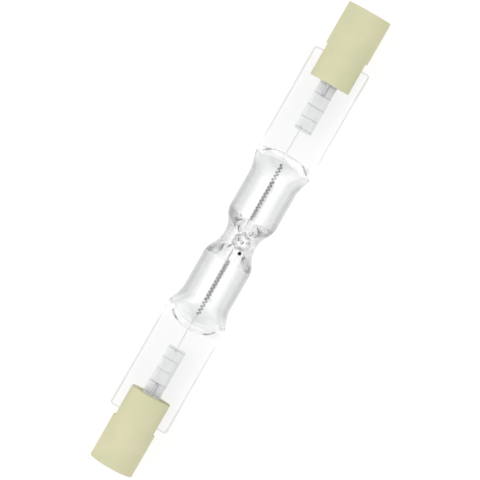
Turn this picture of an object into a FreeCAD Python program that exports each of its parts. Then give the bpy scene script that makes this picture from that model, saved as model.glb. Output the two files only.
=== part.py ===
"""Linear halogen bulb: a two-chamber quartz envelope with a coiled filament, sealed in foil pinches
that are cemented into two slotted ceramic caps.

Millimetres. X runs along the lamp, Z is square to the flat pinches and the exhaust tip points to +Z.
The origin is the middle of the lamp on its axis.
"""
import FreeCAD, Part
import math
import os

import Sketcher
from FreeCAD import Placement, Rotation, Vector

SIZES = {
    "lamp_length": 78.3,
    "drawn_length": 78.3,
    "cap_length": 12.3,
    "cap_radius": 3.55,
    "cap_edge": 0.15,
    "slot_depth": 5.25,
    "recess_radius": 2.1,
    "contact_depth": 1.7,
    "pocket_radius": 1.75,
    "button_thickness": 0.5,
    "button_edge": 0.15,
    "shank_radius": 0.7,
    "shank_length": 2.5,
    "fit_clearance": 0.05,
    "cement_film": 0.2,
    "cement_bed": 1.15,
    "cement_inset": 0.4,
    "pinch_thickness": 2.4,
    "pinch_width_right": 9.36,
    "pinch_width_left": 9.66,
    "pinch_edge": 0.6,
    "pinch_corner": 0.5,
    "pinch_start": 13.4,
    "chamber_radius": 3.95,
    "chamber_wall": 0.55,
    "chamber_half_length": 10.0,
    "shoulder_start": 4.3,
    "waist_radius": 2.69,
    "waist_curve": 3.5,
    "waist_half_flat": 0.2,
    "flare_spread": 3.6,
    "flare_end": 15.7,
    "flare_end_half_height": 0.7,
    "bore_radius": 0.6,
    "bore_half_length": 1.9,
    "cavity_dome_start": 2.2,
    "cavity_dome_radius": 1.95,
    "cavity_shoulder": 3.4,
    "cavity_taper_start": 11.2,
    "cavity_taper_middle": 13.6,
    "cavity_taper_radius": 2.1,
    "cavity_end": 15.0,
    "cavity_end_radius": 0.7,
    "tip_shift": 0.4,
    "tip_flare_radius": 1.55,
    "tip_flare_height": 2.35,
    "tip_radius": 1.15,
    "tip_shoulder_height": 3.0,
    "tip_crown_radius": 0.55,
    "tip_height": 3.85,
    "duct_radius": 0.4,
    "duct_height": 3.1,
    "coil_start": 2.43,
    "coil_length": 10.4,
    "coil_pitch": 0.45,
    "coil_radius": 0.22,
    "strand_radius": 0.075,
    "inner_lead_radius": 0.1,
    "inner_lead_plug": 1.0,
    "inner_lead_straight": 0.15,
    "inner_lead_bend": 1.0,
    "inner_lead_offset_right": 0.44,
    "inner_lead_offset_left": -0.1,
    "inner_weld": 0.8,
    "foil_length": 10.3,
    "foil_width": 2.8,
    "foil_thickness": 0.1,
    "foil_feather": 0.5,
    "foil_cover": 1.95,
    "crimp_start": 0.4,
    "crimp_pitch": 1.95,
    "crimp_width": 0.3,
    "crimp_height": 0.08,
    "outer_lead_radius": 0.35,
    "outer_weld": 4.1,
}
CRIMP_COUNT = 4
STEPS_PER_TURN = 6
STRAND_SIDES = 4
FLARE_STRIPS = 4
FLARE_BULGE = 2.4

# Lengths along the burner are written down for a lamp of drawn_length and stretch with lamp_length.
STRETCH = "(Sizes.lamp_length / Sizes.drawn_length)"

# Stations along the lamp on its right-hand half, each worked out from the sizes above.
RIM = "(Sizes.lamp_length / 2)"
CHEEK_END = f"({RIM} - Sizes.cap_length)"
SLOT_FLOOR = f"({CHEEK_END} + Sizes.slot_depth)"
PINCH_END = f"({SLOT_FLOOR} - Sizes.cement_bed)"
FOIL_END = f"({PINCH_END} - Sizes.foil_cover)"
FOIL_LENGTH = f"(Sizes.foil_length * {STRETCH})"
FOIL_START = f"({FOIL_END} - {FOIL_LENGTH})"
CONTACT_FACE = f"({RIM} - Sizes.contact_depth)"
POCKET_FLOOR = f"({CONTACT_FACE} - Sizes.button_thickness)"
SHANK_END = f"({POCKET_FLOOR} - Sizes.shank_length)"
COIL_START = f"(Sizes.coil_start * {STRETCH})"
COIL_LENGTH = f"(Sizes.coil_length * {STRETCH})"
COIL_END = f"({COIL_START} + {COIL_LENGTH})"
CHAMBER_END = f"(Sizes.chamber_half_length * {STRETCH})"
SHOULDER = f"(Sizes.shoulder_start * {STRETCH})"
FLARE_END = f"(Sizes.flare_end * {STRETCH})"
PINCH_START = f"(Sizes.pinch_start * {STRETCH})"
HALF_SLOT = "(Sizes.pinch_thickness / 2 + Sizes.cement_film)"
CAVITY_RADIUS = "(Sizes.chamber_radius - Sizes.chamber_wall)"
FOIL_FACE = "(Sizes.foil_thickness / 2)"

ACROSS_X = Rotation(Vector(0, 1, 0), Vector(0, 0, 1), Vector(1, 0, 0), "ZXY")
HALF_TURN = Rotation(Vector(0, 0, 1), 180)
SIDES = ("right", "left")

doc = FreeCAD.newDocument("LinearHalogenBulb")


def make_sheet():
    sheet = doc.addObject("Spreadsheet::Sheet", "Sizes")
    for row, (alias, number) in enumerate(SIZES.items(), start=1):
        sheet.set(f"A{row}", alias)
        sheet.set(f"B{row}", str(number))
        sheet.setAlias(f"B{row}", alias)
    doc.recompute()
    return sheet


def value(expression):
    """The number an expression stands for."""
    result = sheet.evalExpression(str(expression))
    return float(getattr(result, "Value", result))


def make_body(name):
    body = doc.addObject("PartDesign::Body", name)
    body.Label = name
    return body


def make_sketch(body, name, role, offset=None):
    """A sketch on one of the body's own origin planes, moved along its normal by an expression."""
    plane = next(feature for feature in body.Origin.OriginFeatures if feature.Role == role)
    sketch = body.newObject("Sketcher::SketchObject", name)
    sketch.AttachmentSupport = [(plane, "")]
    sketch.MapMode = "FlatFace"
    if offset:
        sketch.setExpression("AttachmentOffset.Base.z", offset)
    return sketch


def hold(sketch, constraint, expression):
    row = sketch.addConstraint(constraint)
    sketch.setExpression(f"Constraints[{row}]", expression)


def hold_point(sketch, geometry, point, across, up):
    """Place one point of a sketch by its distances from the sketch's origin."""
    hold(sketch, Sketcher.Constraint("DistanceX", -1, 1, geometry, point, value(across)), across)
    hold(sketch, Sketcher.Constraint("DistanceY", -1, 1, geometry, point, value(up)), up)


def add_polyline(sketch, corners, closed=True):
    """Straight edges through corners, each an (across, up) pair of expressions."""
    places = [Vector(value(across), value(up), 0) for across, up in corners]
    ends = places[1:] + places[:1] if closed else places[1:]
    for start, end in zip(places, ends):
        sketch.addGeometry(Part.LineSegment(start, end))
    for edge in range(1, len(ends)):
        sketch.addConstraint(Sketcher.Constraint("Coincident", edge - 1, 2, edge, 1))
    if closed:
        sketch.addConstraint(Sketcher.Constraint("Coincident", len(ends) - 1, 2, 0, 1))
    for edge, (across, up) in enumerate(corners[:len(ends)]):
        hold_point(sketch, edge, 1, across, up)
    if not closed:
        hold_point(sketch, len(ends) - 1, 2, *corners[-1])


def add_circle(sketch, radius):
    sketch.addGeometry(Part.Circle(Vector(0, 0, 0), Vector(0, 0, 1), value(radius)))
    sketch.addConstraint(Sketcher.Constraint("Coincident", 0, 3, -1, 1))
    hold(sketch, Sketcher.Constraint("Radius", 0, value(radius)), radius)


def revolve(body, sketch, name, axis="H_Axis"):
    feature = body.newObject("PartDesign::Revolution", name)
    feature.Profile = sketch
    feature.ReferenceAxis = (sketch, [axis])
    feature.Angle = 360
    doc.recompute()
    return feature


def pad(body, sketch, name, length, midplane=False):
    feature = body.newObject("PartDesign::Pad", name)
    feature.Profile = sketch
    feature.setExpression("Length", length)
    feature.Midplane = midplane
    doc.recompute()
    return feature


def pocket_through(body, sketch, name):
    """Cut a sketch right through the body, both ways from its plane."""
    before = body.Shape.Volume
    feature = body.newObject("PartDesign::Pocket", name)
    feature.Profile = sketch
    feature.Midplane = True
    feature.Type = "ThroughAll"
    doc.recompute()
    if body.Shape.Volume >= before:
        raise RuntimeError(f"{name} cuts nothing")
    return feature


def turn_to_side(thing, side):
    """Right-hand pieces stay; left-hand ones are the same piece turned half round about Z."""
    if side == "left":
        thing.Placement = Placement(Vector(0, 0, 0), HALF_TURN)


def add_waisted_outline(sketch):
    """Half the section of the round glass, above the sketch's X axis.

    A shoulder arc runs off each chamber, and a neck arc lands on the short straight waist. Both are
    tangent all the way, so the shoulder's own radius follows.
    """
    end = value(CHAMBER_END)
    tube = value("Sizes.chamber_radius")
    edge = value(SHOULDER)
    neck = value("Sizes.waist_radius")
    flat = value("Sizes.waist_half_flat")
    curve = value("Sizes.waist_curve")
    drop = tube - neck
    run = edge - flat
    both_radii = (run * run + drop * drop) / (2 * drop)
    bend = math.asin(run / both_radii)
    shoulder_radius = both_radii - curve
    quarter = math.pi / 2

    def arc(centre_x, centre_y, arc_radius, start, finish):
        circle = Part.Circle(Vector(centre_x, centre_y, 0), Vector(0, 0, 1), arc_radius)
        return Part.ArcOfCircle(circle, start, finish)

    sketch.addGeometry([
        Part.LineSegment(Vector(-end, 0, 0), Vector(-end, tube, 0)),
        Part.LineSegment(Vector(-end, tube, 0), Vector(-edge, tube, 0)),
        arc(-edge, tube - shoulder_radius, shoulder_radius, quarter - bend, quarter),
        arc(-flat, neck + curve, curve, -quarter - bend, -quarter),
        Part.LineSegment(Vector(-flat, neck, 0), Vector(flat, neck, 0)),
        arc(flat, neck + curve, curve, -quarter, -quarter + bend),
        arc(edge, tube - shoulder_radius, shoulder_radius, quarter, quarter + bend),
        Part.LineSegment(Vector(edge, tube, 0), Vector(end, tube, 0)),
        Part.LineSegment(Vector(end, tube, 0), Vector(end, 0, 0)),
        Part.LineSegment(Vector(end, 0, 0), Vector(-end, 0, 0)),
    ], False)
    # An arc runs anticlockwise, so the left shoulder arc starts at the neck and ends at the chamber.
    for joint in ((1, 2, 2, 2), (2, 1, 3, 1), (3, 2, 4, 1), (4, 2, 5, 1), (5, 2, 6, 2), (6, 1, 7, 1)):
        sketch.addConstraint(Sketcher.Constraint("Tangent", *joint))
    for joint in ((0, 2, 1, 1), (7, 2, 8, 1), (8, 2, 9, 1), (9, 2, 0, 1)):
        sketch.addConstraint(Sketcher.Constraint("Coincident", *joint))
    hold_point(sketch, 0, 1, f"-{CHAMBER_END}", "0")
    hold_point(sketch, 1, 1, f"-{CHAMBER_END}", "Sizes.chamber_radius")
    hold_point(sketch, 1, 2, f"-{SHOULDER}", "Sizes.chamber_radius")
    hold_point(sketch, 4, 1, "-Sizes.waist_half_flat", "Sizes.waist_radius")
    hold_point(sketch, 4, 2, "Sizes.waist_half_flat", "Sizes.waist_radius")
    hold_point(sketch, 7, 1, SHOULDER, "Sizes.chamber_radius")
    hold_point(sketch, 8, 1, CHAMBER_END, "Sizes.chamber_radius")
    hold_point(sketch, 9, 1, CHAMBER_END, "0")
    for neck_arc in (3, 5):
        hold(sketch, Sketcher.Constraint("Radius", neck_arc, curve), "Sizes.waist_curve")


def make_blown_chambers():
    """The two round chambers and the waist, with the sealed exhaust tip standing on the waist."""
    body = make_body("blown_chambers")
    outline = make_sketch(body, "chamber_outline", "XY_Plane")
    add_waisted_outline(outline)
    revolve(body, outline, "chambers")
    tip = make_sketch(body, "tip_outline", "XZ_Plane", "Sizes.tip_shift")
    add_polyline(tip, [
        ("0", "Sizes.bore_radius + Sizes.duct_radius"),
        ("Sizes.tip_flare_radius", "Sizes.bore_radius + Sizes.duct_radius"),
        ("Sizes.tip_flare_radius", "Sizes.tip_flare_height"),
        ("Sizes.tip_radius", "Sizes.tip_shoulder_height"),
        ("Sizes.tip_crown_radius", "Sizes.tip_height - Sizes.tip_crown_radius / 2"),
        ("0", "Sizes.tip_height"),
    ])
    revolve(body, tip, "exhaust_tip", "V_Axis")
    return body


def make_gas_space():
    """The hollow of both chambers, the bore that joins them and the duct up the exhaust tip."""
    body = make_body("gas_space")
    outline = make_sketch(body, "gas_space_outline", "XY_Plane")
    half = [
        ("Sizes.bore_half_length", "Sizes.bore_radius"),
        ("Sizes.cavity_dome_start", "Sizes.cavity_dome_radius"),
        ("Sizes.cavity_shoulder", CAVITY_RADIUS),
        ("Sizes.cavity_taper_start", CAVITY_RADIUS),
        ("Sizes.cavity_taper_middle", "Sizes.cavity_taper_radius"),
        ("Sizes.cavity_end", "Sizes.cavity_end_radius"),
        ("Sizes.cavity_end", "0"),
    ]
    right_half = [(f"{across} * {STRETCH}", up) for across, up in half]
    left_half = [(f"-{across}", up) for across, up in reversed(right_half)]
    add_polyline(outline, right_half + left_half)
    revolve(body, outline, "chamber_hollows")
    duct = make_sketch(body, "duct_outline", "XZ_Plane", "Sizes.tip_shift")
    add_polyline(duct, [
        ("0", "0"),
        ("Sizes.duct_radius", "0"),
        ("Sizes.duct_radius", "Sizes.duct_height"),
        ("0", "Sizes.duct_height"),
    ])
    revolve(body, duct, "exhaust_duct", "V_Axis")
    return body


def add_rounded_oblong(sketch, half_width, half_height, corner_radius):
    """A rectangle round the origin with four equal rounded corners, all given as expressions."""
    across = value(f"{half_width} - {corner_radius}")
    up = value(f"{half_height} - {corner_radius}")
    radius = value(corner_radius)
    quarter = math.pi / 2
    centres = [(across, up), (-across, up), (-across, -up), (across, -up)]
    for corner, (centre_across, centre_up) in enumerate(centres):
        circle = Part.Circle(Vector(centre_across, centre_up, 0), Vector(0, 0, 1), radius)
        sketch.addGeometry(Part.ArcOfCircle(circle, corner * quarter, (corner + 1) * quarter))
    sketch.addGeometry([
        Part.LineSegment(Vector(across, up + radius, 0), Vector(-across, up + radius, 0)),
        Part.LineSegment(Vector(-across - radius, up, 0), Vector(-across - radius, -up, 0)),
        Part.LineSegment(Vector(-across, -up - radius, 0), Vector(across, -up - radius, 0)),
        Part.LineSegment(Vector(across + radius, -up, 0), Vector(across + radius, up, 0)),
    ])
    for corner in range(4):
        side_line = corner + 4
        sketch.addConstraint(Sketcher.Constraint("Tangent", corner, 2, side_line, 1))
        sketch.addConstraint(Sketcher.Constraint("Tangent", side_line, 2, (corner + 1) % 4, 1))
    for corner in range(1, 4):
        sketch.addConstraint(Sketcher.Constraint("Equal", 0, corner))
    hold_point(sketch, 0, 3, f"{half_width} - {corner_radius}", f"{half_height} - {corner_radius}")
    hold_point(sketch, 2, 3, f"{corner_radius} - {half_width}", f"{corner_radius} - {half_height}")
    hold(sketch, Sketcher.Constraint("Radius", 0, radius), corner_radius)


def make_pinch(side):
    """The flat pinch: a pressed oblong section with rounded edges, and its end's sharp rim broken."""
    body = make_body(f"pinch_{side}")
    sketch = make_sketch(body, f"pinch_section_{side}", "YZ_Plane", PINCH_START)
    add_rounded_oblong(
        sketch, f"(Sizes.pinch_width_{side} / 2)", "(Sizes.pinch_thickness / 2)", "Sizes.pinch_edge"
    )
    pad(body, sketch, f"pinch_blank_{side}", f"{PINCH_END} - {PINCH_START}")
    pinch_end = value(PINCH_END)
    blank = body.Tip
    end_edges = [
        f"Edge{index}"
        for index, edge in enumerate(blank.Shape.Edges, start=1)
        if abs(edge.BoundBox.XMin - pinch_end) < 1e-6 and abs(edge.BoundBox.XMax - pinch_end) < 1e-6
    ]
    rim = body.newObject("PartDesign::Chamfer", f"pinch_corners_{side}")
    rim.Base = (blank, end_edges)
    rim.setExpression("Size", "Sizes.pinch_corner")
    doc.recompute()
    turn_to_side(body, side)
    return body


def make_flare(side):
    """The chamber's end, pressed from round to flat: strips between ellipses square to X.

    The width spreads early and smoothly, and the height falls ever faster until it dips below the
    pinch's face, which leaves the curved crease that a press leaves.
    """
    start = value(CHAMBER_END)
    length = value(FLARE_END) - start
    half_pinch = f"(Sizes.pinch_width_{side} / 2)"
    ellipses = []
    for index in range(FLARE_STRIPS + 1):
        share = index / FLARE_STRIPS
        spread = min(1, share * length / value(f"Sizes.flare_spread * {STRETCH}"))
        widened = (1 - math.cos(math.pi * spread)) / 2
        flattened = share ** FLARE_BULGE
        half_width = f"Sizes.chamber_radius + ({half_pinch} - Sizes.chamber_radius) * {widened:.6f}"
        fall = f"(Sizes.chamber_radius - Sizes.flare_end_half_height) * {flattened:.6f}"
        half_height = f"Sizes.chamber_radius - {fall}"
        station = f"{CHAMBER_END} + ({FLARE_END} - {CHAMBER_END}) * {share}"
        ellipse = doc.addObject("Part::Ellipse", f"flare_{side}_section_{index}")
        ellipse.Placement = Placement(Vector(start + length * share, 0, 0), ACROSS_X)
        ellipse.MajorRadius = value(half_width)
        ellipse.MinorRadius = value(half_height)
        ellipse.setExpression("Placement.Base.x", station)
        ellipse.setExpression("MajorRadius", half_width)
        ellipse.setExpression("MinorRadius", half_height)
        ellipses.append(ellipse)
    flare = doc.addObject("Part::Loft", f"flare_{side}")
    flare.Sections = ellipses
    flare.Solid = True
    flare.Ruled = True
    turn_to_side(flare, side)
    return flare


def make_envelope(sealed_metal):
    """One piece of quartz, fused closely round the foils and wires that are sealed in it."""
    glass_blank = doc.addObject("Part::MultiFuse", "glass_blank")
    glass_blank.Shapes = [make_blown_chambers()] + [
        shape for side in SIDES for shape in (make_flare(side), make_pinch(side))
    ]
    tube = doc.addObject("Part::Cut", "hollow_glass")
    tube.Base = glass_blank
    tube.Tool = make_gas_space()
    metal = doc.addObject("Part::Compound", "sealed_metal")
    metal.Links = sealed_metal
    envelope = doc.addObject("Part::Cut", "quartz_envelope")
    envelope.Base = tube
    envelope.Tool = metal
    return envelope


def filament_path():
    """Corners of the coil's centre line: left coil, straight middle leg, right coil."""
    start = value(COIL_START)
    length = value(COIL_LENGTH)
    radius = value("Sizes.coil_radius")
    steps = round(length / value("Sizes.coil_pitch") * STEPS_PER_TURN)

    def corner(step, sign):
        angle = 2 * math.pi * step / STEPS_PER_TURN
        return Vector(sign * (start + length * step / steps), radius * math.cos(angle),
                      sign * radius * math.sin(angle))

    left = [corner(step, -1) for step in range(steps, -1, -1)]
    right = [corner(step, 1) for step in range(steps + 1)]
    return left + right


def make_filament():
    corners = filament_path()
    path = doc.addObject("Part::Polygon", "filament_path")
    path.Nodes = corners
    strand = doc.addObject("Part::RegularPolygon", "strand_section")
    strand.Polygon = STRAND_SIDES
    strand.setExpression("Circumradius", "Sizes.strand_radius")
    strand.Placement = Placement(corners[0], Rotation(Vector(0, 0, 1), corners[1] - corners[0]))
    doc.recompute()
    filament = doc.addObject("Part::Sweep", "filament")
    filament.Sections = [strand]
    filament.Spine = (path, [f"Edge{index}" for index in range(1, len(corners))])
    filament.Solid = True
    filament.Frenet = False
    filament.Transition = "Right corner"
    return filament


def cut_weld_flat(body, start, end):
    """Flatten the underside of a wire down to the foil's face where it is welded on."""
    below = "-2 * Sizes.outer_lead_radius"
    sketch = make_sketch(body, f"{body.Name}_weld_outline", "XZ_Plane")
    add_polyline(sketch, [(start, below), (end, below), (end, FOIL_FACE), (start, FOIL_FACE)])
    pocket_through(body, sketch, f"{body.Name}_weld_flat")


def make_inner_lead(side):
    """The wire from inside the coil's end, with a small bend in the chamber, to the foil."""
    body = make_body(f"inner_lead_{side}")
    start = f"({COIL_END} - Sizes.inner_lead_plug)"
    bend_start = f"({COIL_END} + Sizes.inner_lead_straight)"
    bend_end = f"({bend_start} + Sizes.inner_lead_bend)"
    weld_end = f"({FOIL_START} + Sizes.inner_weld)"
    path = make_sketch(body, f"inner_lead_path_{side}", "XY_Plane")
    add_polyline(path, [
        (start, "0"),
        (bend_start, "0"),
        (bend_end, f"Sizes.inner_lead_offset_{side}"),
        (weld_end, f"Sizes.inner_lead_offset_{side}"),
    ], closed=False)
    section = make_sketch(body, f"inner_lead_section_{side}", "YZ_Plane", start)
    add_circle(section, "Sizes.inner_lead_radius")
    doc.recompute()
    pipe = body.newObject("PartDesign::AdditivePipe", f"inner_lead_wire_{side}")
    pipe.Profile = section
    pipe.Spine = (path, ["Edge1", "Edge2", "Edge3"])
    pipe.Transition = "Right corner"
    doc.recompute()
    cut_weld_flat(body, FOIL_START, f"{weld_end} + Sizes.inner_weld")
    turn_to_side(body, side)
    return body


def make_foil(side):
    """A molybdenum ribbon with feathered edges and crimps pressed across its underside."""
    body = make_body(f"foil_{side}")
    half_width = "(Sizes.foil_width / 2)"
    flat = f"({half_width} - Sizes.foil_feather)"
    section = make_sketch(body, f"foil_section_{side}", "YZ_Plane", FOIL_START)
    add_polyline(section, [
        (f"-{half_width}", "0"),
        (f"-{flat}", f"-{FOIL_FACE}"),
        (flat, f"-{FOIL_FACE}"),
        (half_width, "0"),
        (flat, FOIL_FACE),
        (f"-{flat}", FOIL_FACE),
    ])
    pad(body, section, f"ribbon_{side}", FOIL_LENGTH)
    crimp_left = f"({FOIL_START} + Sizes.crimp_start)"
    crimp = make_sketch(body, f"crimp_outline_{side}", "XZ_Plane")
    add_polyline(crimp, [
        (crimp_left, "0"),
        (f"{crimp_left} + Sizes.crimp_width", "0"),
        (f"{crimp_left} + Sizes.crimp_width", f"-{FOIL_FACE}"),
        (f"{crimp_left} + Sizes.crimp_width / 2", f"-{FOIL_FACE} - Sizes.crimp_height"),
        (crimp_left, f"-{FOIL_FACE}"),
    ])
    first = pad(body, crimp, f"crimp_{side}", f"2 * {flat}", midplane=True)
    row = body.newObject("PartDesign::LinearPattern", f"crimps_{side}")
    row.Originals = [first]
    row.Direction = (crimp, ["H_Axis"])
    row.Occurrences = CRIMP_COUNT
    row.setExpression("Length", f"{CRIMP_COUNT - 1} * Sizes.crimp_pitch * {STRETCH}")
    body.Tip = row
    doc.recompute()
    turn_to_side(body, side)
    return body


def make_outer_lead(side):
    """The thick wire from the foil through the cement to the end of the contact's shank."""
    body = make_body(f"outer_lead_{side}")
    start = f"({FOIL_END} - Sizes.outer_weld * {STRETCH})"
    section = make_sketch(body, f"outer_lead_section_{side}", "YZ_Plane", start)
    add_circle(section, "Sizes.outer_lead_radius")
    pad(body, section, f"outer_lead_wire_{side}", f"{SHANK_END} - {start}")
    cut_weld_flat(body, f"{start} - Sizes.outer_weld", FOIL_END)
    turn_to_side(body, side)
    return body


def make_cement(side):
    """A thin film above and below the pinch and a thicker bed between its end and the slot floor."""
    body = make_body(f"cement_{side}")
    front = f"({CHEEK_END} + Sizes.cement_inset)"
    half_pinch = "(Sizes.pinch_thickness / 2)"
    outline = make_sketch(body, f"cement_outline_{side}", "XZ_Plane")
    add_polyline(outline, [
        (front, half_pinch),
        (PINCH_END, half_pinch),
        (PINCH_END, f"-{half_pinch}"),
        (front, f"-{half_pinch}"),
        (front, f"-{HALF_SLOT}"),
        (SLOT_FLOOR, f"-{HALF_SLOT}"),
        (SLOT_FLOOR, HALF_SLOT),
        (front, HALF_SLOT),
    ])
    chord = f"2 * sqrt((Sizes.cap_radius - Sizes.cement_inset) ^ 2 - {HALF_SLOT} ^ 2)"
    pad(body, outline, f"cement_bed_{side}", chord, midplane=True)
    hole = make_sketch(body, f"cement_hole_outline_{side}", "YZ_Plane")
    add_circle(hole, "Sizes.outer_lead_radius")
    pocket_through(body, hole, f"cement_hole_{side}")
    turn_to_side(body, side)
    return body


def make_cap(side):
    """A ceramic barrel: a recess, a pocket for the contact, a lead hole and a slot for the pinch."""
    body = make_body(f"cap_{side}")
    hole_radius = "(Sizes.shank_radius + Sizes.fit_clearance)"
    outline = make_sketch(body, f"cap_outline_{side}", "XY_Plane")
    add_polyline(outline, [
        (CHEEK_END, hole_radius),
        (POCKET_FLOOR, hole_radius),
        (POCKET_FLOOR, "Sizes.pocket_radius"),
        (CONTACT_FACE, "Sizes.pocket_radius"),
        (CONTACT_FACE, "Sizes.recess_radius"),
        (RIM, "Sizes.recess_radius"),
        (RIM, "Sizes.cap_radius - Sizes.cap_edge"),
        (f"{RIM} - Sizes.cap_edge", "Sizes.cap_radius"),
        (CHEEK_END, "Sizes.cap_radius"),
    ])
    revolve(body, outline, f"cap_barrel_{side}")
    slot = make_sketch(body, f"slot_outline_{side}", "XZ_Plane")
    mouth = f"({CHEEK_END} - Sizes.slot_depth)"
    add_polyline(slot, [
        (mouth, f"-{HALF_SLOT}"),
        (SLOT_FLOOR, f"-{HALF_SLOT}"),
        (SLOT_FLOOR, HALF_SLOT),
        (mouth, HALF_SLOT),
    ])
    pocket_through(body, slot, f"pinch_slot_{side}")
    turn_to_side(body, side)
    return body


def make_contact(side):
    """A nickel rivet contact: a button flush with the recess floor, and a shank on the outer lead."""
    body = make_body(f"contact_{side}")
    button_radius = "(Sizes.pocket_radius - Sizes.fit_clearance)"
    outline = make_sketch(body, f"contact_outline_{side}", "XY_Plane")
    add_polyline(outline, [
        (SHANK_END, "0"),
        (CONTACT_FACE, "0"),
        (CONTACT_FACE, f"{button_radius} - Sizes.button_edge"),
        (f"{CONTACT_FACE} - Sizes.button_edge", button_radius),
        (POCKET_FLOOR, button_radius),
        (POCKET_FLOOR, "Sizes.shank_radius"),
        (SHANK_END, "Sizes.shank_radius"),
    ])
    revolve(body, outline, f"contact_rivet_{side}")
    turn_to_side(body, side)
    return body


def check(pieces):
    """Stop if any object failed, or a piece is not one sound solid."""
    failed = [item.Name for item in doc.Objects if {"Invalid", "Error"} & set(item.State)]
    if failed:
        raise RuntimeError(f"failed objects: {failed}")
    for piece in pieces:
        shape = piece.Shape
        if shape.isNull() or not shape.isValid() or len(shape.Solids) != 1:
            raise RuntimeError(f"{piece.Label} is not one sound solid")
        print(f"{piece.Label}: volume {shape.Volume:.3f}, {len(shape.Faces)} faces")


sheet = make_sheet()
wires = []
fittings = []
for side in SIDES:
    wires += [make_inner_lead(side), make_foil(side), make_outer_lead(side)]
    fittings += [make_cement(side), make_cap(side), make_contact(side)]
pieces = [make_envelope(wires), make_filament()] + wires + fittings
doc.recompute()
check(pieces)
os.makedirs("parts", exist_ok=True)
for piece in pieces:
    piece.Shape.exportStep(f"parts/{piece.Label}.step")
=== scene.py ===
"""Linear halogen bulb: the looks of the lamp, built on its CAD frame.

The frame's own axes: X runs along the lamp, Z is square to the flat pinches and the exhaust tip
points to +Z. The lamp lies on its two round chambers. Sizes are millimetres until a mesh is made.
"""
import math

import bpy
import numpy as np
from mathutils import Matrix, Vector


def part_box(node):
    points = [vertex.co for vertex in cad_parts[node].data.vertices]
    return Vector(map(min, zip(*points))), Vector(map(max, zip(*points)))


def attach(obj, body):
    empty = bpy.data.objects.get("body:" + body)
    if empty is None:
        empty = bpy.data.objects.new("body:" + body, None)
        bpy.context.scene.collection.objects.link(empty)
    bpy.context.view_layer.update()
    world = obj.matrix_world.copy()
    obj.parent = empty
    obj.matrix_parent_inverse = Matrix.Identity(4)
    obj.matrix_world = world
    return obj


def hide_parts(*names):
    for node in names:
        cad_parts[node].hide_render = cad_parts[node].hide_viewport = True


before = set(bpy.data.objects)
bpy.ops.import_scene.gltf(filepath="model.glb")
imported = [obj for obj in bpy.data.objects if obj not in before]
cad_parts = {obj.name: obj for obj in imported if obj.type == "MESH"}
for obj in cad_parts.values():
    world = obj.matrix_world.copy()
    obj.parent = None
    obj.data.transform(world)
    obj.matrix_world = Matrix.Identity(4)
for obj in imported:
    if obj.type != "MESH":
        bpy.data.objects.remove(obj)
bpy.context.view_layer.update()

MM = 0.001
SIDES = ("right", "left")


def extent(node):
    """The lowest and highest corner of a CAD node, in millimetres to two decimals."""
    return [[round(metres / MM, 2) for metres in corner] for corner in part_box(node)]


# Corners of the CAD nodes, which set the sizes of the pieces that stand for them
GLASS_LOW, GLASS_HIGH = extent("quartz_envelope")
FOIL_LOW, FOIL_HIGH = extent("foil_right")
OUTER_LEAD_LOW, OUTER_LEAD_HIGH = extent("outer_lead_right")
CONTACT_LOW, CONTACT_HIGH = extent("contact_right")
CAP_LOW, CAP_HIGH = extent("cap_right")
INNER_LEAD_HIGH = extent("inner_lead_right")[1]
CEMENT_HIGH = extent("cement_right")[1]

# Round glass
CHAMBER_RADIUS = -GLASS_LOW[2]
CHAMBER_HALF_LENGTH = 10.0
SHOULDER_START = 4.3
WAIST_RADIUS = 2.69
WAIST_HALF_FLAT = 0.2
WAIST_CURVE = 3.5
FLARE_END = {"right": 14.7, "left": 15.5}
FLARE_SPREAD = 3.6
FLARE_BULGE = 1.45
FLARE_END_HALF_HEIGHT = 0.57
FLARE_FILLET = 0.8

# Flat pinches
PINCH_HALF_WIDTH = {"right": 4.68, "left": GLASS_HIGH[1]}
PINCH_HALF_THICKNESS = 1.2
PINCH_START = 13.4
PINCH_END = GLASS_HIGH[0]
PINCH_SIDE_RADIUS = 0.55
PINCH_CORNER_RADIUS = 0.5

# Exhaust tip, with waves round its foot as (waves in a turn, share of the radius, start)
TIP_CENTRE_HEIGHT = 2.3
TIP_RADIUS = 1.35
TIP_SHIFT = -0.4
TIP_TOP = 3.85
TIP_FILLET = 0.25
TIP_WAVES = ((3, 0.06, 0.6), (7, 0.05, 0.0))

# Dark bead on the neck glass
BEAD_CENTRE = (-1.65, -0.95, 2.95)
BEAD_RADIUS = 0.28

# Gas space
CAVITY_RADIUS = 3.4
BORE_RADIUS = 0.6
BORE_HALF_LENGTH = 0.8
CAVITY_NECK_END = 3.8
CAVITY_NECK_RISE = 1.3
CAVITY_NECK_BULGE = 1.3
CAVITY_WIDEST = 12.9
CAVITY_HALF_WIDTH = 4.05
CAVITY_ROUND_END = 0.12
CAVITY_LEAST_HALF_SIZE = 0.01
DUCT_RADIUS = 0.42
DUCT_TOP = 3.05
DUCT_FILLET = 0.5

# How finely the glass is drawn: where its rings change spacing, their points and the search for them
TIP_REACH = 2.4
FLARE_REACH = 16.4
OUTER_POINTS = 224
CAVITY_POINTS = 128
SEARCH_REACH = 8.0
SEARCH_STEPS = 30

# Which faces of the glass are coated or pressed; the coated faces also carry the darkest painted edge shade
OUTER_SKIN_SHARE = 0.97
CREASE_MARGIN = 0.05
FILM_ALL_ROUND = 13.2
PRESSED_LENGTH = 0.6

# Filament
COIL_START = 2.43
COIL_LENGTH = 10.4
COIL_PITCH = 0.6
COIL_RADIUS = 0.235
COIL_SHIFT = {"right": 0.13, "left": -0.05}
PRIMARY_RADIUS = 0.085
PRIMARY_PITCH = 0.07
WIRE_RADIUS = 0.028
STEPS_PER_TURN = 150

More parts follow.
